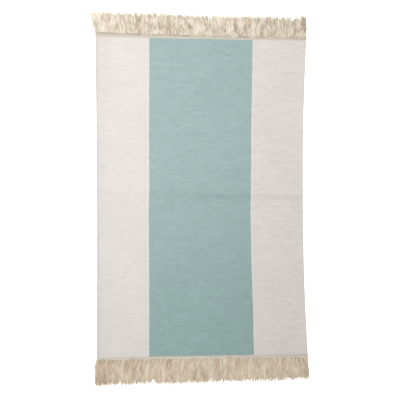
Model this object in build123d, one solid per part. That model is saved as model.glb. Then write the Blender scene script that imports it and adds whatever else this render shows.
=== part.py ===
from build123d import *
import math
import os
import random

# A flat-woven cotton bath mat, lying flat. +X across the mat, +Y along it, +Z up, in
# millimetres. Natural warps run the whole length and hang free at both ends as the
# fringe. Three panels of weft, white, teal and white, cover them side by side. At each
# end a few cream picks make a header band, and a twined cord locks it in place.

# Thicknesses, measured up from the floor.
CLOTH_THICKNESS = 4.0
HEADER_THICKNESS = 3.6
TWINE_THICKNESS = 5.0
SELVEDGE_THICKNESS = 4.4
WARP_THICKNESS = 1.2
TASSEL_THICKNESS = 3.0
TASSEL_LIFT = 0.3

# Widths.
SELVEDGE_WIDTH = 5.0
TWINE_WIDTH = 5.0
WARP_COVER = 0.55        # share of a warp bundle's pitch that its hidden stretch takes
ROOT_COVER = 0.62        # share of the pitch that a tassel takes where it leaves the twining
TIP_COVER = 0.80         # share of the pitch that a tassel takes at its tip

# The weave.
WARP_BUNDLES = 50
LEFT_JOIN = 0.2542       # where white meets teal, as a share of the mat's width
RIGHT_JOIN = 0.7458      # where teal meets white

# The fringe.
TIP_SCATTER = 3.0        # how far a tassel's tip falls short of the fringe's line
LEAN_SCATTER = 0.8       # how far a tassel's tip leans to either side
SWELL = 12.0             # how far below its root a tassel has reached its full width
FLARE_SHARE = 0.07       # how far in from the side the outermost tassels splay outwards
FRINGE_SEED = 11

# Lines across the mat, each from its left side to its right. Nominally the cloth is
# 600 by 900. It lies a little waisted on the right, and its ends slant a little.
TOP_TIPS = ((-301.0, 531.0), (304.0, 516.0))
TOP_FOOT = ((-295.0, 471.5), (305.0, 457.5))
TOP_OF_CLOTH = ((-295.0, 458.0), (305.0, 448.0))
WAIST = ((-290.5, 8.0), (295.5, 7.0))
END_OF_CLOTH = ((-291.0, -452.0), (309.0, -441.0))
END_FOOT = ((-291.0, -460.0), (309.0, -451.0))
END_TIPS = ((-294.0, -532.0), (309.0, -515.0))

# How far the outermost tassels' tips splay past those lines, at the left and at the right.
TOP_FLARE = (-12.0, 0.0)
END_FLARE = (-5.0, 3.0)
FRINGES = ((TOP_FOOT, TOP_TIPS, TOP_FLARE), (END_FOOT, END_TIPS, END_FLARE))

SELVEDGE = SELVEDGE_WIDTH / (TOP_OF_CLOTH[1][0] - TOP_OF_CLOTH[0][0])   # its share of the width
EDGE_ROUND = 1.2         # rounding of the selvedges and the twined cords


def across(line, share):
    """The point at this share of the width along a line across the mat."""
    left, right = Vector(*line[0]), Vector(*line[1])
    return left + (right - left) * share


def inward(line, distance):
    """The same line, moved along Y towards the waist."""
    step = -distance if line[0][1] > 0 else distance
    return tuple((x, y + step) for x, y in line)


def raised(edges, low, high):
    """A closed plan outline, made into a solid between two heights."""
    plan = Face(Wire(edges)).moved(Location((0, 0, low)))
    return Solid.extrude(plan, Vector(0, 0, high - low))


def lengthwise_edge(share):
    """The run of one warp through the cloth: a shallow parabola that meets the waist line."""
    top, waist, end = (across(line, share) for line in (TOP_OF_CLOTH, WAIST, END_OF_CLOTH))
    return Bezier(top, waist * 2 - (top + end) / 2, end)


def lengthwise_strip(left, right, low, high):
    """A strip of cloth between two shares of the width."""
    edges = [
        lengthwise_edge(left),
        Line(across(END_OF_CLOTH, left), across(END_OF_CLOTH, right)),
        lengthwise_edge(right),
        Line(across(TOP_OF_CLOTH, right), across(TOP_OF_CLOTH, left)),
    ]
    return raised(edges, low, high)


def crosswise_strip(outer, inner, low, high):
    """A strip over the mat's full width, between two lines across it."""
    corners = [across(outer, 0), across(outer, 1), across(inner, 1), across(inner, 0)]
    return raised(Polyline(*corners, close=True).edges(), low, high)


def rounded(solid):
    """Rounds the long top edges of a cord."""
    top = solid.faces().sort_by(Axis.Z)[-1]
    long_edges = top.edges().sort_by(SortBy.LENGTH)[-2:]
    return fillet(long_edges, EDGE_ROUND)


def hidden_warp(left, right):
    """The stretch of a warp bundle that the wefts cover, from foot to foot."""
    low = (CLOTH_THICKNESS - WARP_THICKNESS) / 2
    edges = [
        Line(across(TOP_FOOT, left), across(TOP_OF_CLOTH, left)),
        lengthwise_edge(left),
        Line(across(END_OF_CLOTH, left), across(END_FOOT, left)),
        Line(across(END_FOOT, left), across(END_FOOT, right)),
        Line(across(END_FOOT, right), across(END_OF_CLOTH, right)),
        lengthwise_edge(right),
        Line(across(TOP_OF_CLOTH, right), across(TOP_FOOT, right)),
        Line(across(TOP_FOOT, right), across(TOP_FOOT, left)),
    ]
    return raised(edges, low, low + WARP_THICKNESS)


def splay(flare, share):
    """How far a tip splays sideways: most at the mat's corners, dying away inwards."""
    near_left = math.exp(-share / FLARE_SHARE)
    near_right = math.exp(-(1 - share) / FLARE_SHARE)
    return flare[0] * near_left + flare[1] * near_right


def tassel(foot, tips, flare, middle, pitch, chance):
    """The free end of a warp bundle: a flat bunch that swells below the twining."""
    short = chance.uniform(0, TIP_SCATTER)
    lean = chance.uniform(-LEAN_SCATTER, LEAN_SCATTER) + splay(flare, middle)
    root = across(foot, middle)
    tip = across(inward(tips, short), middle) + Vector(lean, 0)
    swell = root + (tip - root) * (SWELL / (tip - root).length)
    half_root = Vector(pitch * ROOT_COVER / 2, 0)
    half_tip = Vector(pitch * TIP_COVER / 2, 0)
    corners = [
        root - half_root,
        root + half_root,
        swell + half_tip,
        tip + half_tip,
        tip - half_tip,
        swell - half_tip,
    ]
    outline = Polyline(*corners, close=True).edges()
    return raised(outline, TASSEL_LIFT, TASSEL_LIFT + TASSEL_THICKNESS)


def make_warps():
    """Every warp bundle: a hidden stretch with a tassel at each end."""
    chance = random.Random(FRINGE_SEED)
    step = (1 - 2 * SELVEDGE) / WARP_BUNDLES
    warps = []
    for number in range(WARP_BUNDLES):
        middle = SELVEDGE + step * (number + 0.5)
        reach = step * WARP_COVER / 2
        warp = hidden_warp(middle - reach, middle + reach)
        for foot, tips, flare in FRINGES:
            pitch = (across(foot, 1) - across(foot, 0)).length * step
            warp += tassel(foot, tips, flare, middle, pitch, chance)
        warps.append(warp)
    return warps


def make_cloth():
    """The woven pieces, before the warps' channels are cut through them."""
    top_twine = inward(TOP_FOOT, TWINE_WIDTH)
    end_twine = inward(END_FOOT, TWINE_WIDTH)
    return {
        "left_selvedge_cord": rounded(lengthwise_strip(0, SELVEDGE, 0, SELVEDGE_THICKNESS)),
        "left_panel": lengthwise_strip(SELVEDGE, LEFT_JOIN, 0, CLOTH_THICKNESS),
        "centre_panel": lengthwise_strip(LEFT_JOIN, RIGHT_JOIN, 0, CLOTH_THICKNESS),
        "right_panel": lengthwise_strip(RIGHT_JOIN, 1 - SELVEDGE, 0, CLOTH_THICKNESS),
        "right_selvedge_cord": rounded(lengthwise_strip(1 - SELVEDGE, 1, 0, SELVEDGE_THICKNESS)),
        "top_header_band": crosswise_strip(top_twine, TOP_OF_CLOTH, 0, HEADER_THICKNESS),
        "bottom_header_band": crosswise_strip(end_twine, END_OF_CLOTH, 0, HEADER_THICKNESS),
        "top_twining_cord": rounded(crosswise_strip(TOP_FOOT, top_twine, 0, TWINE_THICKNESS)),
        "bottom_twining_cord": rounded(crosswise_strip(END_FOOT, end_twine, 0, TWINE_THICKNESS)),
    }


def make_parts():
    """Every piece by name, with the origin at the bottom centre of the whole mat."""
    warps = make_warps()
    parts = {}
    for name, piece in make_cloth().items():
        parts[name] = piece - warps if "selvedge" not in name else piece
    for number, warp in enumerate(warps, start=1):
        parts[f"warp_bundle_{number:02d}"] = warp
    box = Compound([*parts.values()]).bounding_box()
    centre = box.center()
    home = Location((-centre.X, -centre.Y, -box.min.Z))
    print("moved to the origin by", [round(value, 3) for value in home.position])
    return {name: piece.moved(home) for name, piece in parts.items()}


os.makedirs("parts", exist_ok=True)
for node, piece in make_parts().items():
    export_step(piece, f"parts/{node}.step")
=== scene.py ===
import bpy
import numpy as np
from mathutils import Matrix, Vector


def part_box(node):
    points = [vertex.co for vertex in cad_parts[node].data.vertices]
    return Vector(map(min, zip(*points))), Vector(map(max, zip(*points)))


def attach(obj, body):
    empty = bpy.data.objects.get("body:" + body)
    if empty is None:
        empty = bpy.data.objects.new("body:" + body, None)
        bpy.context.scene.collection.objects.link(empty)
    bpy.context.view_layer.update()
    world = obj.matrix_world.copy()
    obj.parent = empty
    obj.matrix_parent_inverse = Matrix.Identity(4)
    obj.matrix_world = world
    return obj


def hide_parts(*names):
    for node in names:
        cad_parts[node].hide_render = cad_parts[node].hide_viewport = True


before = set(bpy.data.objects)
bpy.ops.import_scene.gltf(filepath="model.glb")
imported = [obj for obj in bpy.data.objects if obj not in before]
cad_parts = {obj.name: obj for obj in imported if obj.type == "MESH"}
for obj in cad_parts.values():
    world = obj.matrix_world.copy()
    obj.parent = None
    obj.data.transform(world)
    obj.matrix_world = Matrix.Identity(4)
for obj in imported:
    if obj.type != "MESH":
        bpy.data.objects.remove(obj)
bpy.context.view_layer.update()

# ------------------------------------------------------------------ the mat's plan
# Lengths are in millimetres until a mesh is made. Each line runs across the mat, from
# its left side to its right side. A share is a place across it, from 0 to 1.
TOP_TIPS = ((-301.0, 534.6), (304.0, 517.0))
TOP_FOOT = ((-295.0, 471.5), (305.0, 457.5))
TOP_OF_CLOTH = ((-295.0, 458.0), (305.0, 448.0))
WAIST = ((-290.5, 8.0), (295.5, 7.0))
END_OF_CLOTH = ((-291.0, -452.0), (309.0, -441.0))
END_FOOT = ((-291.0, -460.0), (309.0, -451.0))
END_TIPS = ((-294.0, -535.8), (309.0, -517.2))
WAIST_FLATNESS = 0.4       # how far the right side stays inside the shallow curve
TOP_BOW = 2.6              # how much further out the top foot reaches at its two ends
END_BOW = 0.6              # the same for the bottom foot

# How far the outermost strands splay past the tips' lines, at the left and at the right.
TOP_FLARE = (-14.5, 0.5)
END_FLARE = (5.5, 6.0)
FLARE_SHARE = 0.07

SELVEDGE_SHARE = 5.0 / 600
TWINE_WIDTH = 5.0
CLOTH_THICKNESS = 4.0
HEADER_THICKNESS = 3.6

# The weave: warps lie under lengthwise ribs, and picks of weft cross them.
BUNDLES = 50
WARPS_IN_BUNDLE = 3
WARPS = BUNDLES * WARPS_IN_BUNDLE
PICKS = 380
COLUMNS_PER_WARP = 4
ROWS_PER_PICK = 2
RIB_HEIGHT = 0.20          # how far a lengthwise rib stands up over its warp
FLOAT_HEIGHT = 0.42        # how far a weft stands up where it passes over a warp
RELIEF = RIB_HEIGHT + FLOAT_HEIGHT
EDGE_TUCK = 0.15           # how far the outer warps reach in under the selvedges, in warps

# The joins between the colours. Reaches are in warps.
LEFT_JOIN_WARP = 37.5      # where white meets teal
RIGHT_JOIN_WARP = 112.5    # where teal meets white
JOIN_TOOTH = 0.22          # how far the joined wefts reach past the join
JOIN_REACH = 1.5           # how far from a join its teeth bend the cloth
JOIN_GROOVE = 0.25         # depth of the groove between the colours
JOIN_RIDGE = 0.20          # the white wefts stand this proud beside each join
JOIN_SPREAD = 0.12         # how much of the mat's width moves with a join that strays

# The relaxed cloth lies in long shallow waves. Each has a height, the distances along X
# and along Y over which it turns by one radian, and a phase.
GROUND = 1.0               # mean height of the relaxed cloth's underside
WAVES = ((0.40, 95.0, 240.0, 0.6), (0.34, -310.0, 78.0, 1.9), (0.22, 120.0, 41.0, 4.2))

# The crease that folding has left across the mat.
CREASE_Y = 8.0             # its place in the mat's middle
CREASE_FALL = 90.0         # it falls by one millimetre over this distance to the right
CREASE_RISE = 7.0          # how much higher it runs along the left side
CREASE_DEPTH = 0.55
CREASE_WIDTH = 7.0

METRES = 0.001
low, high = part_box("top_twining_cord")
HOME = np.array([low.x / METRES - TOP_FOOT[0][0], high.y / METRES - TOP_FOOT[0][1]])


def smooth(x):
    """0 below 0, 1 above 1, and a smooth step between."""
    x = np.clip(x, 0, 1)
    return x * x * (3 - 2 * x)


def ramp(x, start, length):
    """0 up to the start, and then a smooth rise to 1 over the length."""
    return smooth((x - start) / length)


def bell(x, middle, width):
    """1 at the middle, falling towards 0 on both sides of it."""
    return np.exp(-(((x - middle) / width) ** 2))


def across(line, share):
    """Points at these shares of the width along a line across the mat."""
    left, right = np.array(line[0]) + HOME, np.array(line[1]) + HOME
    return left + (right - left) * np.asarray(share)[..., None]


def along_foot(line, share):
    """Points along the cloth's foot, or a line beside it, where the end bows a little."""
    points = across(line, share)
    bow = TOP_BOW if line[0][1] > 0 else -END_BOW
    points[..., 1] += bow * ((2 * np.asarray(share) - 1) ** 2 - 1 / 3)
    return points


def moved_in(line, distance):
    """The same line, moved along Y towards the waist."""
    step = -distance if line[0][1] > 0 else distance
    return tuple((x, y + step) for x, y in line)


def cloth_plan(share, along):
    """Points of the cloth: along runs from 0 at its top to 1 at its other end."""
    top, waist, end = (across(line, share) for line in (TOP_OF_CLOTH, WAIST, END_OF_CLOTH))
    control = waist * 2 - (top + end) / 2
    t = np.asarray(along)[..., None]
    plan = top * (1 - t) ** 2 + control * 2 * t * (1 - t) + end * t**2
    plan[..., 0] -= WAIST_FLATNESS * share * np.sin(2 * np.pi * along) ** 2
    return plan


def join_wander(share, along):
    """How far the weavers let each join stray sideways, spread over the cloth beside it."""
    left = 2.3 - 4.7 * along
    outwards = 2.7 * np.sin(np.pi * along) ** 0.6 - 0.6
    inwards = 2.7 * bell(along, 0.59, 0.16)
    right = outwards - inwards
    return left * bell(share, 0.25, JOIN_SPREAD) + right * bell(share, 0.75, JOIN_SPREAD)


def lie(x, y):
    """How high the relaxed cloth lies above the floor, in long shallow waves."""
    waves = sum(
        height * np.sin(x / along_x + y / along_y + phase)
        for height, along_x, along_y, phase in WAVES
    )
    crease = CREASE_DEPTH * bell(below_crease(x, y), 0, CREASE_WIDTH) * creased(x)
    return GROUND + waves - crease


def below_crease(x, y):
    """How far a point lies below the crease that folding has left across the mat."""
    return CREASE_Y - x / CREASE_FALL + CREASE_RISE * ramp(-x, 90, 120) - y


def creased(x):
    """How strong the crease is: most at the mat's right side, and least at its left."""
    return 0.55 + 0.45 * ramp(x, -120, 200) + 0.9 * ramp(x, 140, 60)


SPREAD_LOST = 1.5          # makes up for the spread that smoothing takes from the noise


def lattice_noise(chance, rows, columns, row_cell, column_cell):
    """Smooth noise of about unit spread on a grid, with cells of the given size."""
    y = np.arange(rows) / row_cell
    x = np.arange(columns) / column_cell
    lattice = chance.normal(size=(int(y[-1]) + 2, int(x[-1]) + 2))
    row, column = y.astype(int), x.astype(int)
    down, right = smooth(y - row)[:, None], smooth(x - column)[None, :]
    upper = lattice[row][:, column] * (1 - right) + lattice[row][:, column + 1] * right
    lower = lattice[row + 1][:, column] * (1 - right) + lattice[row + 1][:, column + 1] * right
    return (upper * (1 - down) + lower * down) * SPREAD_LOST


# ------------------------------------------------------------------ meshes
SHARP_ANGLE = 1.2          # edges that turn by more than this, in radians, stay sharp


def make_object(name, points, faces, material, attributes):
    """A smooth mesh object on the mat's body, from points in millimetres and faces."""
    mesh = bpy.data.meshes.new(name)
    corners = np.concatenate([block.ravel() for block in faces]).astype(np.int32)
    sides = np.concatenate([np.full(len(block), block.shape[1]) for block in faces])
    starts = np.concatenate([[0], np.cumsum(sides)[:-1]]).astype(np.int32)
    mesh.vertices.add(len(points))
    mesh.vertices.foreach_set("co", (points * METRES).astype(np.float32).ravel())
    mesh.loops.add(len(corners))
    mesh.loops.foreach_set("vertex_index", corners)
    mesh.polygons.add(len(sides))
    mesh.polygons.foreach_set("loop_start", starts)
    mesh.polygons.foreach_set("use_smooth", np.ones(len(sides), bool))
    mesh.update(calc_edges=True)
    mesh.validate()
    for key, values in attributes.items():
        layer = mesh.attributes.new(key, "FLOAT", "POINT")
        layer.data.foreach_set("value", values.astype(np.float32).ravel())
    mesh.set_sharp_from_angle(angle=SHARP_ANGLE)
    mesh.materials.append(material)
    piece = bpy.data.objects.new(name, mesh)
    bpy.context.scene.collection.objects.link(piece)
    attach(piece, "root")
    return piece


def sheet_faces(rows, columns):
    """Faces of a closed sheet: a grid above, the same grid below and a rim between."""
    below = rows * columns
    index = np.arange(below).reshape(rows, columns)
    upper = np.stack(
        [index[:-1, :-1], index[1:, :-1], index[1:, 1:], index[:-1, 1:]], axis=-1
    ).reshape(-1, 4)
    lower = upper[:, ::-1] + below
    edge = np.concatenate(
        [index[:-1, 0], index[-1, :-1], index[:0:-1, -1], index[0, :0:-1]]
    )
    after = np.roll(edge, -1)
    rim = np.stack([edge, edge + below, after + below, after], axis=-1)
    return [upper, lower, rim]


def tube_faces(rings, sides, tubes=1):
    """Faces of closed tubes, whose points are rings of the given number of sides."""
    ring = np.arange(sides)
    after = (ring + 1) % sides
    start = (np.arange(rings - 1) * sides)[:, None]
    wall = np.stack(
        [start + ring, start + after, start + sides + after, start + sides + ring], axis=-1
    ).reshape(-1, 4)
    ends = np.array([ring[::-1], ring + (rings - 1) * sides])
    offset = (np.arange(tubes) * rings * sides)[:, None, None]
    return [(wall + offset).reshape(-1, 4), (ends + offset).reshape(-1, sides)]


def sweep(lines, radius, sides, turn=0.0):
    """Rings of points round lines of shape (tubes, rings, 3), in millimetres."""
    forward = np.gradient(lines, axis=1)
    forward /= np.linalg.norm(forward, axis=-1, keepdims=True)
    side = np.cross(forward, [0, 0, 1.0])
    side /= np.linalg.norm(side, axis=-1, keepdims=True)
    up = np.cross(side, forward)
    angle = np.arange(sides) * 2 * np.pi / sides + np.asarray(turn)[..., None]
    radius = np.broadcast_to(np.asarray(radius, float), lines.shape[:2])[..., None, None]
    around = side[:, :, None] * np.cos(angle)[..., None]
    around = around + up[:, :, None] * np.sin(angle)[..., None]
    return lines[:, :, None] + around * radius


# ------------------------------------------------------------------ materials
WHOLE = (1.0, 1.0, 1.0, 1.0)      # a colour that changes nothing when it multiplies
UNIT = (0.0, 1.0)
MIDDLE = (0.3, 0.7)               # most of a noise's values lie between these
WIDE = (0.25, 0.75)               # the same for a noise of fibres
VALLEY_SHADE = 0.84               # painted shade: how dark the weft is where it dips between the warps
GAP_SHADE = 0.45                  # painted shade: how dark a yarn is at the bottom of a gap
GREENISH = (0.99, 1.0, 0.965, 1)  # natural yarn's hue drifts between these two
REDDISH = (1.01, 0.985, 1.0, 1)
TONE_LIMIT = 6                    # the weft's tones run this far to either side of 0

# The surface of cotton.
IOR = 1.46
SPECULAR = 0.25
SHEEN = 0.12
SHEEN_ROUGHNESS = 0.5
FIBRE_DEPTH = 0.0003              # metres


class Nodes:
    """A material's node tree, with short calls to add and join nodes."""

    def __init__(self, name):
        self.material = bpy.data.materials.new(name)
        self.material.use_nodes = True
        self.tree = self.material.node_tree
        self.shader = self.tree.nodes["Principled BSDF"]
        self.shader.inputs["IOR"].default_value = IOR
        self.shader.inputs["Specular IOR Level"].default_value = SPECULAR
        self.shader.inputs["Sheen Weight"].default_value = SHEEN
        self.shader.inputs["Sheen Roughness"].default_value = SHEEN_ROUGHNESS

    def add(self, kind, inputs=None, **settings):
        node = self.tree.nodes.new("ShaderNode" + kind)
        for key, value in settings.items():
            setattr(node, key, value)
        self.fill(node, inputs or {})
        return node

    def fill(self, node, inputs):
        """Sets a node's inputs, or links them where the value is another node's output."""
        for key, value in inputs.items():
            if isinstance(value, bpy.types.NodeSocket):
                self.tree.links.new(value, node.inputs[key])
            else:
                node.inputs[key].default_value = value

    def stretched(self, stretch):
        """Places on the piece, whose pattern is longest along the axes of small stretch."""
        place = self.add("TexCoord").outputs["Object"]
        return self.add("Mapping", {"Vector": place, "Scale": stretch}).outputs["Vector"]

    def noise(self, stretch, scale, detail=3.0):
        """Noise from 0 to 1."""
        values = {"Vector": self.stretched(stretch), "Scale": scale, "Detail": detail}
        return self.add("TexNoise", values).outputs["Fac"]

    def along(self, axis, start, end):
        """0 to 1 along the mat's X or Y, from one place in metres to another."""
        place = self.add("TexCoord").outputs["Object"]
        value = self.add("SeparateXYZ", {"Vector": place}).outputs[axis]
        settings = {"Value": value, "From Min": start, "From Max": end}
        return self.add("MapRange", settings, interpolation_type="SMOOTHSTEP").outputs["Result"]

    def twist(self, stretch, scale):
        """Fine slanting lines, like the twisted fibres of a yarn that runs along X."""
        values = {
            "Vector": self.stretched(stretch),
            "Scale": scale,
            "Distortion": 3.0,
            "Detail": 2.0,
            "Detail Scale": 0.6,
        }
        settings = {"wave_type": "BANDS", "bands_direction": "DIAGONAL"}
        return self.add("TexWave", values, **settings).outputs["Fac"]

    def attribute(self, name):
        return self.add("Attribute", attribute_name=name).outputs["Fac"]

    def between(self, value, source, target):
        """The value, brought from one range into another and kept inside it."""
        values = {
            "Value": value,
            "From Min": source[0],
            "From Max": source[1],
            "To Min": target[0],
            "To Max": target[1],
        }
        return self.add("MapRange", values).outputs["Result"]

    def mix(self, blend, factor, first, second):
        """The second colour over the first, blended in by the factor."""
        node = self.add("Mix", data_type="RGBA", blend_type=blend)
        self.fill(node, {0: factor, 6: first, 7: second})
        return node.outputs[2]

    def scale(self, colour, value, source, target):
        """The colour, made lighter or darker by a value that is brought into a range."""
        factor = self.between(value, source, target)
        grey = self.add("CombineColor", {"Red": factor, "Green": factor, "Blue": factor})
        return self.mix("MULTIPLY", 1.0, colour, grey.outputs["Color"])

    def finish(self, colour, roughness, height, strength):
        """Joins the colour, the roughness and the fibres' bump to the shader."""
        values = {"Height": height, "Distance": FIBRE_DEPTH, "Strength": strength}
        normal = self.add("Bump", values).outputs["Normal"]
        self.fill(self.shader, {"Base Color": colour, "Roughness": roughness, "Normal": normal})
        return self.material


def weft_material(name, colour, shade, fleck, pick_contrast, end_painted_shade=WHOLE, side_painted_shade=WHOLE):
    """Cotton weft: streaks from pick to pick, heathered fibres, and painted shade in the valleys.

    Painted shade for the light's falloff darkens the colour over the mat: end_painted_shade
    multiplies the colour at its bottom end, and side_painted_shade at its right side."""
    nodes = Nodes(name)
    streak = nodes.noise(stretch=(2.5, 14.0, 1.0), scale=22.0, detail=4.0)
    cloud = nodes.noise(stretch=(1.0, 1.0, 1.0), scale=7.0, detail=2.0)
    fibre = nodes.noise(stretch=(0.25, 1.0, 1.0), scale=1500.0, detail=2.0)
    heather = nodes.noise(stretch=(0.3, 1.0, 1.0), scale=420.0, detail=2.0)
    twist = nodes.twist(stretch=(0.55, 1.0, 0.0), scale=560.0)
    base = nodes.mix("MIX", nodes.between(streak, MIDDLE, UNIT), shade, colour)
    contrast = TONE_LIMIT * pick_contrast
    tones = nodes.attribute("tone")
    base = nodes.scale(base, tones, (-TONE_LIMIT, TONE_LIMIT), (1 - contrast, 1 + contrast))
    base = nodes.scale(base, cloud, MIDDLE, (0.985, 1.015))
    base = nodes.mix("MIX", nodes.between(heather, (0.55, 0.8), (0.0, 0.5)), base, fleck)
    # Painted shade for the light's falloff: the colour darkens towards the bottom end and towards the
    # right side.
    for falloff_shade, place in (
        (end_painted_shade, nodes.along("Y", 0.15, -0.45)),
        (side_painted_shade, nodes.along("X", -0.1, 0.2)),
    ):
        base = nodes.mix("MULTIPLY", 1.0, base, nodes.mix("MIX", place, WHOLE, falloff_shade))
    base = nodes.scale(base, fibre, WIDE, (0.96, 1.04))
    base = nodes.scale(base, twist, UNIT, (0.965, 1.035))
    # Painted shade: the weft is darkened where its relief is low, in the valleys between the warps.
    base = nodes.scale(base, nodes.attribute("relief"), (0.0, 0.8), (VALLEY_SHADE, 1.0))
    roughness = nodes.between(heather, MIDDLE, (0.82, 0.96))
    height = nodes.add("Math", {0: fibre, 1: twist}, operation="ADD").outputs["Value"]
    return nodes.finish(base, roughness, height, strength=0.5)


def yarn_material(name, light, colour, shade, end_painted_shade=WHOLE):
    """Natural cotton yarn: each strand its own tone, with fine fibres along it, and painted shade
    from its relief attribute.

    A tone of -1 gives the shade, 0 the colour and 1 the light one, and end_painted_shade multiplies
    the colour at the mat's bottom end, as painted shade there."""
    nodes = Nodes(name)
    tone = nodes.attribute("tone")
    patch = nodes.noise(stretch=(1.0, 1.0, 1.0), scale=60.0)
    warmth = nodes.noise(stretch=(1.0, 0.5, 1.0), scale=38.0)
    fibre = nodes.noise(stretch=(1.0, 0.3, 1.0), scale=2200.0, detail=2.0)
    base = nodes.mix("MIX", nodes.between(tone, (0.0, -1.0), UNIT), colour, shade)
    base = nodes.mix("MIX", nodes.between(tone, UNIT, UNIT), base, light)
    tint = nodes.mix("MIX", nodes.between(warmth, (0.35, 0.65), UNIT), GREENISH, REDDISH)
    base = nodes.mix("MULTIPLY", 1.0, base, tint)
    # Painted shade: the yarn darkens towards the mat's bottom end.
    drift = nodes.mix("MIX", nodes.along("Y", 0.3, -0.3), WHOLE, end_painted_shade)
    base = nodes.mix("MULTIPLY", 1.0, base, drift)
    base = nodes.scale(base, patch, MIDDLE, (0.95, 1.05))
    base = nodes.scale(base, fibre, WIDE, (0.93, 1.07))
    # Painted shade: the yarn is darkened where its relief attribute is low, in gaps, at roots and
    # under other strands.
    base = nodes.scale(base, nodes.attribute("relief"), UNIT, (GAP_SHADE, 1.0))
    roughness = nodes.between(fibre, MIDDLE, (0.8, 0.95))
    return nodes.finish(base, roughness, fibre, strength=0.6)


WHITE = weft_material(
    "white_cotton_weft",
    colour=(0.861, 0.824, 0.793, 1),
    shade=(0.825, 0.787, 0.756, 1),
    fleck=(0.897, 0.871, 0.846, 1),
    pick_contrast=0.020,
    # painted shade for the light's falloff towards the right side
    side_painted_shade=(0.985, 0.968, 0.968, 1),
)
TEAL = weft_material(
    "teal_cotton_weft",
    colour=(0.424, 0.566, 0.559, 1),
    shade=(0.391, 0.529, 0.522, 1),
    fleck=(0.500, 0.627, 0.618, 1),
    pick_contrast=0.040,
    # painted shade for the light's falloff towards the bottom end and the right side
    end_painted_shade=(0.85, 0.925, 0.905, 1),
    side_painted_shade=(0.974, 0.978, 0.978, 1),
)
CREAM = weft_material(
    "cream_cotton_weft",
    colour=(0.844, 0.765, 0.673, 1),
    shade=(0.790, 0.711, 0.618, 1),
    fleck=(0.892, 0.842, 0.770, 1),
    pick_contrast=0.09,
)
NATURAL = yarn_material(
    "natural_cotton_warp",
    light=(0.96, 0.91, 0.815, 1),
    colour=(0.80, 0.705, 0.58, 1),
    shade=(0.54, 0.455, 0.35, 1),
    # painted shade: the fringe darkens towards the bottom end
    end_painted_shade=(0.99, 0.95, 0.905, 1),
)
# The twine's colours are darker than the warp's: painted shade for the groove along the fringe's
# foot.
TWINE = yarn_material(
    "natural_cotton_twine",
    light=(0.92, 0.85, 0.735, 1),
    colour=(0.60, 0.54, 0.45, 1),
    shade=(0.40, 0.345, 0.285, 1),
)

# ------------------------------------------------------------------ the woven cloth
chance = np.random.default_rng(20)
ROWS = PICKS * ROWS_PER_PICK + 1
COLUMNS = WARPS * COLUMNS_PER_WARP + 1
warp = np.arange(COLUMNS) / COLUMNS_PER_WARP
pick = np.arange(ROWS) / ROWS_PER_PICK
CLOTH_WIDTH = 600
CLOTH_LENGTH = 905

# Thick places in the weft. Each slub has its share of the width and of the length, its
# height and its tone.
PLACED_SLUBS = (
    (0.6225, 0.0495, 0.35, -9.0),
    (0.6262, 0.0520, 0.35, -9.0),
    (0.6295, 0.0507, 0.35, -9.0),
    (0.324, 0.848, 0.50, 4.5),
    (0.704, 0.978, 0.50, 4.0),
)
STRAY_SLUBS = 46
STRAY_SLUB_HEIGHT = 0.3
STRAY_SLUB_TONE = 1.6      # spread of their tones
SLUB_ALONG_WEFT = 3.4      # half length of a slub
SLUB_ACROSS_WEFT = 1.4

PLUMPNESS = 0.22           # how much the height of the floats varies
YARN_TONE = 0.75           # share of the tone that changes from pick to pick
SLOW_TONE = 0.16           # share of the tone that changes over several picks
RIDGE_TONE = 1.6           # the white wefts are paler beside the joins
CREASE_SHADE_TONE = 1.2            # how much the painted shade at the crease darkens the weft


def make_slubs():
    """The placed slubs, and the stray ones."""
    slubs = list(PLACED_SLUBS)
    for _ in range(STRAY_SLUBS):
        place = chance.uniform(0.02, 0.98), chance.uniform(0.01, 0.99)
        slubs.append((*place, STRAY_SLUB_HEIGHT, chance.normal() * STRAY_SLUB_TONE))
    return slubs


def warp_share(warp):
    """The share of the mat's width at a place counted in warps from the left selvedge."""
    return SELVEDGE_SHARE + (1 - 2 * SELVEDGE_SHARE) * np.asarray(warp) / WARPS


def woven_floats(side):
    """Height from 0 to 1 of the weft floats, and the pick that shows at each point.

    A pick passes over every other warp, and its neighbours pass over the warps between."""
    rib = np.floor(warp).astype(int)
    over = (rib + side) % 2
    along = (pick[:, None] - over[None, :] - 0.5) / 2
    shown = np.round(along).astype(int) * 2 + over[None, :]
    crest = np.abs(np.cos(np.pi * along))
    crown = np.cos(np.pi * (warp - rib - 0.5))
    return crest * crown[None, :], crown, np.clip(shown, 0, PICKS - 1)


def at_joins(reach, shift):
    """1 at this many warps to the white side of each join, falling to 0 around it."""
    left = bell(LEFT_JOIN_WARP - warp, shift, reach)
    right = bell(warp - RIGHT_JOIN_WARP, shift, reach)
    return left + right


def warp_places():
    """The place of every grid point in warps, with teeth at the joins and tucked edges."""
    tooth = np.clip(1.3 * np.sin(np.pi * (pick + 0.25) / 2), -1, 1) * JOIN_TOOTH
    place = np.repeat(warp[None, :], ROWS, axis=0)
    for join in (LEFT_JOIN_WARP, RIGHT_JOIN_WARP):
        near = np.clip(1 - np.abs(warp - join) / JOIN_REACH, 0, 1)
        place = place + tooth[:, None] * near[None, :]
    place[:, 0] -= EDGE_TUCK
    place[:, -1] += EDGE_TUCK
    return place


def crease_painted_shade(x, y):
    """How much painted shade darkens the weft at the crease, and a little less for a way below it."""
    below = below_crease(x, y)
    on_crease = 1.5 * bell(below, 0, CREASE_WIDTH)
    past_crease = 0.8 * np.exp(-np.clip(below, 0, None) / 45) * smooth(below / 4)
    return (on_crease + past_crease) * creased(x)


def side_painted_light_and_shade():
    """Painted shade along the mat's left side, and painted light at its right side, against the shade
    at the selvedge's seam.
    """
    right_edge = 1.8 * np.exp(-(WARPS - warp) / 3)
    left_shade = 1.5 * (1 - smooth(warp / 14))
    left_line = 2.5 * np.exp(-warp)
    return right_edge - left_shade - left_line


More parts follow.
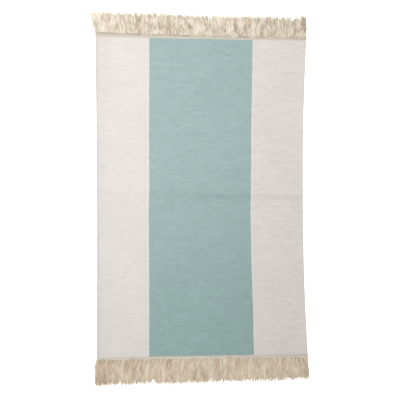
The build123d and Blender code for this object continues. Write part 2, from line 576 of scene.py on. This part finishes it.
def make_cloth():
    """Points, tones and relief of both faces of the whole cloth, as arrays of rows."""
    slubs = make_slubs()
    wave = lattice_noise(chance, ROWS, COLUMNS, row_cell=26, column_cell=90) * 0.42
    weave = lattice_noise(chance, ROWS, COLUMNS, row_cell=9, column_cell=7) * 0.14
    sway = lattice_noise(chance, ROWS, COLUMNS, row_cell=60, column_cell=5) * 0.26
    yarn = lattice_noise(chance, PICKS, COLUMNS, row_cell=1, column_cell=18)
    slow = lattice_noise(chance, PICKS, COLUMNS, row_cell=5, column_cell=70)
    plump = lattice_noise(chance, PICKS, COLUMNS, row_cell=1, column_cell=22)
    along_cloth = (pick / PICKS)[:, None]
    share = warp_share(warp_places())
    plan = cloth_plan(share, along_cloth * np.ones(COLUMNS))
    plan[..., 0] += sway + weave + join_wander(share, along_cloth)
    calm = smooth(np.minimum(pick, PICKS - pick) / 3)[:, None]
    plan[..., 1] += wave * calm
    x, y = plan[..., 0], plan[..., 1]
    ground = lie(x, y)
    groove, ridge = at_joins(0.55, 0.0), at_joins(0.5, 0.75)
    uneven_yarn = 0.9 + 0.35 * ramp(warp, 105, 15)
    # Paler tones beside the joins, painted light and shade at the sides, and painted shade at the
    # crease.
    own_tone = RIDGE_TONE * ridge[None, :] + side_painted_light_and_shade()[None, :] - CREASE_SHADE_TONE * crease_painted_shade(x, y)
    columns = np.arange(COLUMNS)[None, :]
    faces = []
    for side in (0, 1):
        floats, crown, shown = woven_floats(side)
        fat = 1 + PLUMPNESS * plump[shown, columns]
        relief = RIB_HEIGHT * crown[None, :] + FLOAT_HEIGHT * floats * fat
        relief = relief - JOIN_GROOVE * groove[None, :] + JOIN_RIDGE * ridge[None, :]
        tone = YARN_TONE * yarn[shown, columns] + SLOW_TONE * slow[shown, columns]
        tone = tone * uneven_yarn + own_tone
        for across_cloth, along, lump, shift in slubs:
            apart = np.hypot(
                (warp_share(warp)[None, :] - across_cloth) * CLOTH_WIDTH / SLUB_ALONG_WEFT,
                (along_cloth - along) * CLOTH_LENGTH / SLUB_ACROSS_WEFT,
            )
            spot = bell(apart, 0, 1)
            relief = relief + spot * lump
            tone = tone + spot * shift
        if side == 0:
            height = ground + CLOTH_THICKNESS - RELIEF + relief
        else:
            height = ground + RELIEF - np.minimum(relief, RELIEF)
        faces.append((np.dstack([plan, height]), tone, np.clip(relief / RELIEF, 0, 1)))
    return faces


CLOTH = make_cloth()


def make_panel(name, node, first_warp, last_warp, material):
    """One colour of the cloth, as a closed sheet with the weave on both faces."""
    part = slice(int(first_warp * COLUMNS_PER_WARP), int(last_warp * COLUMNS_PER_WARP) + 1)
    points = np.concatenate([face[0][:, part].reshape(-1, 3) for face in CLOTH])
    tone = np.concatenate([face[1][:, part].ravel() for face in CLOTH])
    relief = np.concatenate([face[2][:, part].ravel() for face in CLOTH])
    faces = sheet_faces(ROWS, part.stop - part.start)
    piece = make_object(name, points, faces, material, {"tone": tone, "relief": relief})
    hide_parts(node)
    return piece


left_panel = make_panel(
    "left_white_panel", "left_panel", 0, LEFT_JOIN_WARP, WHITE
)
centre_panel = make_panel(
    "centre_teal_panel", "centre_panel", LEFT_JOIN_WARP, RIGHT_JOIN_WARP, TEAL
)
right_panel = make_panel(
    "right_white_panel", "right_panel", RIGHT_JOIN_WARP, WARPS, WHITE
)


# ------------------------------------------------------------------ selvedges
SELVEDGE_SIDES = 14
SELVEDGE_HEIGHT = 2.4      # height of the cord's middle above the cloth's underside
SELVEDGE_RADIUS = 1.98
WRAP_HEIGHT = 0.34         # how far the turned weft stands up on the cord
SELVEDGE_OVAL = (1.08, 1.0, 0.96)


def make_selvedge(name, share, node, shift):
    """The outer warp cord, with the weft turned round it at every second pick."""
    plan = cloth_plan(np.full(ROWS, share), pick / PICKS)
    middle = lie(plan[:, 0], plan[:, 1]) + SELVEDGE_HEIGHT
    line = np.column_stack([plan, middle])[None]
    lag = 0.5 * np.sin(np.arange(SELVEDGE_SIDES) * 2 * np.pi / SELVEDGE_SIDES)
    wrap = np.abs(np.cos(np.pi * (pick[:, None] / 2 + lag[None, :] / 2)))
    plump = lattice_noise(chance, ROWS, SELVEDGE_SIDES, row_cell=2, column_cell=5)
    radius = SELVEDGE_RADIUS + WRAP_HEIGHT * wrap + 0.06 * plump
    rings = sweep(line, 1.0, SELVEDGE_SIDES)[0]
    centre = line[0][:, None]
    points = centre + (rings - centre) * radius[..., None] * SELVEDGE_OVAL
    tone = 0.5 * lattice_noise(chance, ROWS, SELVEDGE_SIDES, row_cell=3, column_cell=40) + shift
    # The relief darkens the wrapped weft between its turns, as painted shade.
    values = {"tone": tone, "relief": wrap * 0.5}
    faces = tube_faces(ROWS, SELVEDGE_SIDES)
    piece = make_object(name, points.reshape(-1, 3), faces, WHITE, values)
    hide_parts(node)
    return piece


left_selvedge = make_selvedge(
    "left_wrapped_selvedge", SELVEDGE_SHARE / 2, "left_selvedge_cord", shift=-3.5
)
# The right cord's tone is raised: painted light against the shade at its seam.
right_selvedge = make_selvedge(
    "right_wrapped_selvedge", 1 - SELVEDGE_SHARE / 2, "right_selvedge_cord", shift=1.5
)


# ------------------------------------------------------------------ header bands
HEADER_PICKS = 4
ROWS_PER_HEADER_PICK = 4
HEADER_OVERHANG = 2        # the header reaches over the selvedges, by this many warps
HEADER_TUCK = 0.4          # how far it reaches in over the end of the coloured cloth
HEADER_RIB = 0.20
HEADER_FLOAT = 0.46
HEADER_UNDER = 0.45        # height of a pick where it passes under a warp, as a share
HEADER_RELIEF = 0.66       # the most that ribs and floats add up to


def make_header(name, foot, cloth_end, node, tones):
    """A few cream picks, whose tones run from the coloured weft's end to the twined cord."""
    rows = HEADER_PICKS * ROWS_PER_HEADER_PICK + 1
    columns = (WARPS + 2 * HEADER_OVERHANG) * COLUMNS_PER_WARP + 1
    place = np.linspace(-HEADER_OVERHANG, WARPS + HEADER_OVERHANG, columns)
    share = np.linspace(0, 1, columns)
    inner = across(moved_in(cloth_end, HEADER_TUCK), share)
    outer = along_foot(moved_in(foot, TWINE_WIDTH * 0.5), share)
    down = np.linspace(0, 1, rows)[:, None]
    plan = inner[None] * (1 - down[..., None]) + outer[None] * down[..., None]
    plan[..., 1] += lattice_noise(chance, rows, columns, row_cell=8, column_cell=60) * 0.18
    ground = lie(plan[..., 0], plan[..., 1])
    rib = np.floor(place).astype(int)
    crown = np.cos(np.pi * (place - rib - 0.5))[None, :]
    bars = np.abs(np.cos(np.pi * (down * HEADER_PICKS - 0.5)))
    over = (np.floor(down * HEADER_PICKS) + rib[None, :]) % 2 == 0
    floats = np.where(over, HEADER_UNDER + (1 - HEADER_UNDER) * crown, HEADER_UNDER)
    relief = HEADER_RIB * crown + HEADER_FLOAT * bars * floats
    upper = np.dstack([plan, ground + HEADER_THICKNESS - HEADER_RELIEF + relief])
    lower = np.dstack([plan, ground + HEADER_RELIEF - relief])
    tone = lattice_noise(chance, rows, columns, row_cell=4, column_cell=60) * 0.25
    tone = tone + tones[0] + (tones[1] - tones[0]) * down
    if foot[0][1] > 0:
        upper, lower, relief, tone = upper[::-1], lower[::-1], relief[::-1], tone[::-1]
    values = {
        "tone": np.concatenate([tone, tone]),
        "relief": np.concatenate([relief, relief]) / HEADER_RELIEF,
    }
    points = np.concatenate([upper.reshape(-1, 3), lower.reshape(-1, 3)])
    faces = sheet_faces(rows, columns)
    piece = make_object(name, points, faces, CREAM, values)
    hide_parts(node)
    return piece


# The top header darkens towards its cord: painted shadow from the raised top fringe.
top_header = make_header(
    "top_header_picks", TOP_FOOT, TOP_OF_CLOTH, "top_header_band", tones=(-0.9, -2.4)
)
end_header = make_header(
    "bottom_header_picks", END_FOOT, END_OF_CLOTH, "bottom_header_band", tones=(-1.2, -1.3)
)


# ------------------------------------------------------------------ twined cords
CORD_STRAND_RADIUS = 1.2
CORD_SPREAD = 1.1          # how far each strand's line swings sideways in a twist
CORD_RISE = 0.6            # how far it swings up and down
CORD_HEIGHT = 3.0          # height of the two strands' middle above the cloth's underside
CORD_SIDES = 8
RINGS_PER_TURN = 14
CORD_END = 0.002           # the cord stops this share of the width short of each side
SPIN = 0.5                 # how far each strand turns about itself from ring to ring, in radians


def make_twining(name, foot, node, shift):
    """Two strands twisted round each other, one turn for each bundle of warps."""
    rings = BUNDLES * RINGS_PER_TURN + 1
    share = np.linspace(CORD_END, 1 - CORD_END, rings)
    plan = along_foot(moved_in(foot, TWINE_WIDTH / 2), share)
    middle = lie(plan[:, 0], plan[:, 1]) + CORD_HEIGHT
    turn = 2 * np.pi * BUNDLES * share
    strands = []
    for phase in (0, np.pi):
        y = plan[:, 1] + CORD_SPREAD * np.cos(turn + phase)
        z = middle + CORD_RISE * np.sin(turn + phase)
        strands.append(np.column_stack([plan[:, 0], y, z]))
    uneven = lattice_noise(chance, 2, rings, row_cell=1, column_cell=6)
    thick = CORD_STRAND_RADIUS * (1 + 0.08 * uneven)
    spin = np.broadcast_to(np.arange(rings) * SPIN, (2, rings))
    points = sweep(np.array(strands), thick, CORD_SIDES, turn=spin).reshape(-1, 3)
    lobes = 0.5 + 0.5 * np.cos(2 * np.arange(CORD_SIDES) * 2 * np.pi / CORD_SIDES)
    tone = lattice_noise(chance, 2, rings, row_cell=1, column_cell=20) * 0.4 + shift
    # The relief darkens the grooves between each strand's lobes, as painted shade.
    values = {
        "tone": np.repeat(tone, CORD_SIDES),
        "relief": np.tile(0.7 + 0.3 * lobes, 2 * rings),
    }
    faces = tube_faces(rings, CORD_SIDES, tubes=2)
    piece = make_object(name, points, faces, TWINE, values)
    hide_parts(node)
    return piece


# The top cord's tone is lower than the bottom one's: painted shadow from the raised top fringe.
top_twining = make_twining("top_twined_strands", TOP_FOOT, "top_twining_cord", shift=0.3)
end_twining = make_twining("bottom_twined_strands", END_FOOT, "bottom_twining_cord", shift=1.0)

# ------------------------------------------------------------------ fringe
LOCKS = 4                  # locks in one bundle
STRANDS_IN_LOCK = 4        # plied strands in one lock
UNDER_STRANDS = 14         # close strands that lie flat under the locks of one bundle
RINGS = 30                 # rings along one strand
PLY_SIDES = 5
UNDER_SIDES = 6
PLY_RADIUS = 0.44
PLY_OFFSET = 0.38
UNDER_RADIUS = 0.62
TWIST_PITCH = 9.0
KNOTS = 9                  # places along a strand or a lock whose tones differ
TUFT_KNOTS = 4             # the same along a whole bundle
STRAY_LENGTH = 8.5         # how far a stray strand hangs past the fringe's line
ROOT_INSIDE = -2.5         # a strand starts this far inside the twined cord
ROOT_RISE = 1.7            # how much higher it starts than it lies further out
STRAND_HEIGHT = 0.95       # height of a lying strand's middle above the ground
LOWEST = 0.02              # nothing of the fringe lies lower than this above the floor
BUNDLE_CONTRAST = 0.12     # how much the tone differs from bundle to bundle
UNDER_PAINTED_SHADE = 0.35        # painted shade: how much darker the under strands are, lying under the locks
PITCH = CLOTH_WIDTH / BUNDLES
EDGE_SHARE = 0.02          # how far in the outermost bundles' own tones reach

# The two ends hang differently: the top fringe is shaken open, the bottom one is combed.
TOP_FRINGE = {
    "foot": TOP_FOOT, "tips": TOP_TIPS, "flare": TOP_FLARE,
    "neck": 0.96, "neck_length": 10.0, "slant": 0.0, "gap_length": 3.0, "gap_depth": 0.15,
    "lean": 3.2, "shared_lean": 1.9, "strand_lean": 1.2, "curl": 1.2,
    "loft": 3.0, "ragged": 14.0, "lock_short": 2.0, "tone": 0.13, "tone_slope": 0.1,
    "tone_bow": 0.10, "edge_tones": (1.2, -0.5),
    "tuft_contrast": 0.42, "lock_contrast": 0.60, "strand_contrast": 0.34,
    # painted highlight at the roots of some locks, and painted shade at every strand's root
    "root_highlight": 0.6, "root_relief": 0.82,
    "uneven": ((0.31, 0.05, -2.5), (0.5, 0.25, 2.4), (0.94, 0.006, 9.0), (1.0, 0.03, -6.0)),
    "strays": (),
}
END_FRINGE = {
    "foot": END_FOOT, "tips": END_TIPS, "flare": END_FLARE,
    "neck": 0.60, "neck_length": 19.0, "slant": 5.5, "gap_length": 9.0, "gap_depth": 0.36,
    "lean": 1.3, "shared_lean": 1.2, "strand_lean": 0.8, "curl": 0.5,
    "loft": 2.0, "ragged": 13.0, "lock_short": 0.9, "tone": 0.10, "tone_slope": 0.4,
    "tone_bow": 0.16, "edge_tones": (-0.5, -0.6),
    "tuft_contrast": 0.22, "lock_contrast": 0.30, "strand_contrast": 0.19,
    # painted highlight at the roots of some locks, and painted shade at every strand's root
    "root_highlight": 0.2, "root_relief": 0.88,
    "uneven": ((0.118, 0.007, 6.0), (0.24, 0.04, 2.5), (0.281, 0.009, 11.0), (0.62, 0.05, 1.0),
               (0.96, 0.05, 2.0)),
    "strays": (0.345, 0.40, 0.685),
}


def splay(flare, share):
    """How far a tip splays sideways: most at the mat's corners, dying away inwards."""
    return flare[0] * np.exp(-share / FLARE_SHARE) + flare[1] * np.exp(-(1 - share) / FLARE_SHARE)


def lay_strand(end, share, gather, lean, curl, loft, short):
    """A strand's line, its distances from the foot, and its share of the fringe's length.

    The strand hangs at its own share of the width. Its root is pulled sideways by gather,
    into the neck of its bundle."""
    root = along_foot(end["foot"], share)
    tip = across(end["tips"], share) + [splay(end["flare"], share), 0]
    full = np.linalg.norm(tip - root)
    notches = sum(depth * bell(share, middle, width) for middle, width, depth in end["uneven"])
    s = np.linspace(ROOT_INSIDE, full - (short + notches), RINGS)
    t = np.clip(s / full, 0, 1)
    opened = smooth(s / end["neck_length"])
    swing = np.sin(t * np.pi * chance.uniform(1.0, 4.0) + chance.uniform(0, 6)) * opened
    slant = end["slant"] * (1 - ramp(share, 0.3, 0.5)) * (bell(s, 0, 9) - 1)
    plan = root + (tip - root) / full * s[:, None]
    plan[:, 0] += gather * (1 - opened) + lean * t**1.4 + slant + swing * curl
    ground = lie(plan[:, 0], plan[:, 1]) * (1 - 0.75 * smooth(s / 35))
    rooted = ROOT_RISE * (1 - smooth(s / 9))
    height = ground + STRAND_HEIGHT + rooted + loft * smooth(s / 8) * (1 - 0.55 * t)
    return np.column_stack([plan, height]), s, t


def gap_shade(end, share, s):
    """Painted shadow on the under strands between the necks, which gape most at the left."""
    shadow = ramp(s, 1.5, 2.5) * (1 - ramp(s, end["gap_length"], 6))
    gape = 1 - 0.8 * ramp(share, 0.18, 0.2)
    return 0.88 - end["gap_depth"] * gape * shadow


def hang_bundle(end, bundle, shared_lean):
    """The strands of one bundle: a flat row underneath, and locks of strands over it."""
    under, over = [], []
    half = 0.5 / BUNDLES
    middle = (bundle + 0.5) / BUNDLES
    bundle_tone = end["tone"] + end["tone_slope"] * (middle - 0.5) + chance.normal() * BUNDLE_CONTRAST
    bundle_tone += end["tone_bow"] * (1 - (2 * middle - 1) ** 2)
    bundle_tone += end["edge_tones"][0] * np.exp(-middle / EDGE_SHARE)
    bundle_tone += end["edge_tones"][1] * np.exp(-(1 - middle) / EDGE_SHARE)
    tuft_tones = chance.normal(size=TUFT_KNOTS) * end["tuft_contrast"]
    for spot in (np.arange(UNDER_STRANDS) + 0.5) / UNDER_STRANDS * 2 - 1:
        share = middle + (spot + chance.normal() * 0.02) * half
        lean = shared_lean * 0.3 + chance.normal() * 0.3
        short = chance.random() * end["ragged"]
        line, s, t = lay_strand(end, share, 0.0, lean, 0.15, 0.0, short)
        tuft = np.interp(t, np.linspace(0, 1, TUFT_KNOTS), tuft_tones)
        # The under strands are darkened as painted shade.
        tone = tuft + bundle_tone - UNDER_PAINTED_SHADE + chance.normal() * 0.3
        under.append((line, s, tone, gap_shade(end, share, s)))
    for lock in (np.arange(LOCKS) + 0.5) / LOCKS * 2 - 1:
        stray = any(abs(middle - place) < half for place in end["strays"]) and 0 < lock < 0.5
        lock = lock + chance.normal() * 0.08
        lean = shared_lean + chance.normal() * end["lean"]
        loft = end["loft"] * chance.uniform(0.25, 1.0)
        short = abs(chance.normal()) * end["lock_short"]
        lock_tones = chance.normal(size=KNOTS) * end["lock_contrast"]
        root_highlight_tone = end["root_highlight"] * max(0.0, chance.normal())
        for strand in (np.arange(STRANDS_IN_LOCK) + 0.5) / STRANDS_IN_LOCK * 2 - 1:
            spot = lock + strand * 0.8 / LOCKS + chance.normal() * 0.05
            gather = -spot * (1 - end["neck"]) * PITCH / 2
            strand_lean = lean + chance.normal() * end["strand_lean"]
            strand_loft = max(loft + chance.uniform(-0.5, 0.5), 0.6)
            strand_short = short + chance.random() * end["ragged"]
            if stray and abs(strand) < 0.5:
                strand_short = -STRAY_LENGTH
            line, s, t = lay_strand(
                end, middle + spot * half, gather, strand_lean, end["curl"], strand_loft,
                strand_short,
            )
            strand_tones = chance.normal(size=KNOTS) * end["strand_contrast"]
            tone = np.interp(t, np.linspace(0, 1, KNOTS), lock_tones + strand_tones)
            tone = tone + np.interp(t, np.linspace(0, 1, TUFT_KNOTS), tuft_tones)
            tone = tone + bundle_tone + chance.normal() * end["strand_contrast"]
            # Painted highlight just past the foot, on the locks whose roots catch the light.
            tone = tone + root_highlight_tone * bell(s, 4, 5)
            # Painted shade: each strand is darker at its root, and lower locks are darker than lofted
            # ones.
            relief = end["root_relief"] + (1 - end["root_relief"]) * smooth(s / 10)
            relief = relief - 0.10 * (1 - loft / end["loft"])
            over.append((line, s, tone, relief))
    return under, over


def twist_plies(strands):
    """Strands of two plies twisted together: their points, tones and relief.

    Towards the tip the plies come apart and grow thin."""
    lines, s, tone, relief = (np.array(values) for values in zip(*strands))
    count = len(lines)
    travel = np.linspace(0, 1, RINGS)[None, :] * np.ones((count, 1))
    loosen = PLY_OFFSET * (1 + 0.9 * ramp(travel, 0.82, 0.18))
    phases = 2 * np.pi * (s / TWIST_PITCH + chance.random((count, 1)))
    axes = sweep(lines, 1.0, 4)
    side_axis, up_axis = axes[:, :, 0] - lines, axes[:, :, 1] - lines
    plies, tones = [], []
    for angle in (phases, phases + np.pi):
        helix = side_axis * np.cos(angle)[..., None] + up_axis * np.sin(angle)[..., None]
        thin = PLY_RADIUS * (1 - 0.45 * ramp(travel, 0.86, 0.14))
        thin = thin * (1 + 0.10 * chance.normal(size=(count, 1)))
        plies.append(sweep(lines + helix * loosen[..., None], thin, PLY_SIDES).reshape(-1, 3))
        tones.append(np.repeat(tone + chance.normal(size=(count, 1)) * 0.1, PLY_SIDES))
    return np.concatenate(plies), np.concatenate(tones), np.tile(np.repeat(relief, PLY_SIDES), 2)


def twist_flat(strands):
    """Plainer strands, each one tube with an oval section that turns along its length."""
    lines, s, tone, relief = (np.array(values) for values in zip(*strands))
    phases = 2 * np.pi * (s / TWIST_PITCH + chance.random((len(lines), 1)))
    angle = np.arange(UNDER_SIDES) * 2 * np.pi / UNDER_SIDES
    oval = 1 + 0.22 * np.cos(2 * (angle - phases[..., None]))
    tubes = sweep(lines, UNDER_RADIUS, UNDER_SIDES)
    tubes = lines[:, :, None] + (tubes - lines[:, :, None]) * oval[..., None]
    return tubes.reshape(-1, 3), np.repeat(tone, UNDER_SIDES), np.repeat(relief, UNDER_SIDES)


def make_fringe(name, end, bundles):
    """The free warps of some bundles at one end of the mat."""
    under, over = [], []
    for bundle in bundles:
        flat, locks = hang_bundle(end, bundle, SHARED_LEAN[end["foot"]][bundle])
        under += flat
        over += locks
    plies, flats = twist_plies(over), twist_flat(under)
    points, tone, relief = (np.concatenate(pair) for pair in zip(plies, flats))
    points[:, 2] = np.maximum(points[:, 2], LOWEST)
    ply_faces = tube_faces(RINGS, PLY_SIDES, tubes=len(over) * 2)
    flat_faces = tube_faces(RINGS, UNDER_SIDES, tubes=len(under))
    faces = ply_faces + [block + len(plies[0]) for block in flat_faces]
    values = {"tone": tone, "relief": relief}
    piece = make_object(name, points, faces, NATURAL, values)
    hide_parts(*[f"warp_bundle_{bundle + 1:02d}" for bundle in bundles])
    return piece


SHARED_LEAN = {
    end["foot"]: lattice_noise(chance, 1, BUNDLES, 1, 2.5)[0] * end["shared_lean"]
    for end in (TOP_FRINGE, END_FRINGE)
}
QUARTERS = {
    "left": range(0, 13),
    "centre_left": range(13, 25),
    "centre_right": range(25, 37),
    "right": range(37, BUNDLES),
}
for quarter, bundles in QUARTERS.items():
    make_fringe(f"top_fringe_{quarter}", TOP_FRINGE, bundles)
    make_fringe(f"bottom_fringe_{quarter}", END_FRINGE, bundles)

# ------------------------------------------------------------------ the stage
# Lengths are in metres here.
FLOOR_SIZE = 12
FLOOR_COLOUR = (0.9, 0.9, 0.9, 1)
FLOOR_GLOW = 0.65          # keeps the floor white where the mat shades it
KEY_PLACE = (-0.17, 0.26, 1.83)
KEY_AIM = (-1.6, 1.04, 0)
KEY_SIZE = 1.2
KEY_POWER = 27.2
KEY_COLOUR = (1.0, 0.985, 0.96)
WORLD_STRENGTH = 0.506
VIEW_WIDTH = 1.1376        # the width of floor that the camera sees
CAMERA_OVER = (0.0003, -0.0037)

bpy.ops.mesh.primitive_plane_add(size=FLOOR_SIZE)
floor = bpy.context.object
floor.name = "floor"
floor_nodes = Nodes("pale_floor")
floor_nodes.shader.inputs["Base Color"].default_value = FLOOR_COLOUR
floor_nodes.shader.inputs["Emission Color"].default_value = (1, 1, 1, 1)
floor_nodes.shader.inputs["Emission Strength"].default_value = FLOOR_GLOW
floor.data.materials.append(floor_nodes.material)


def add_light(name, place, aim, size, power, colour):
    """A round soft light at one place, turned to shine at another."""
    light = bpy.data.lights.new(name, "AREA")
    light.shape = "DISK"
    light.size = size
    light.energy = power
    light.color = colour
    lamp = bpy.data.objects.new(name, light)
    bpy.context.scene.collection.objects.link(lamp)
    lamp.location = place
    lamp.rotation_euler = (Vector(place) - Vector(aim)).to_track_quat("Z", "Y").to_euler()
    lamp.visible_camera = False


add_light("key", KEY_PLACE, KEY_AIM, KEY_SIZE, KEY_POWER, KEY_COLOUR)
world = bpy.data.worlds.new("studio")
world.use_nodes = True
world.node_tree.nodes["Background"].inputs["Color"].default_value = (1, 1, 1, 1)
world.node_tree.nodes["Background"].inputs["Strength"].default_value = WORLD_STRENGTH
bpy.context.scene.world = world
bpy.context.scene.view_settings.view_transform = "Standard"

# The camera looks straight down, from far enough to keep the sides straight.
camera_data = bpy.data.cameras.new("camera")
camera_data.lens = 100
camera_data.clip_end = 100
camera = bpy.data.objects.new("camera", camera_data)
bpy.context.scene.collection.objects.link(camera)
distance = VIEW_WIDTH * camera_data.lens / camera_data.sensor_width
camera.location = (*CAMERA_OVER, distance)
bpy.context.scene.camera = camera
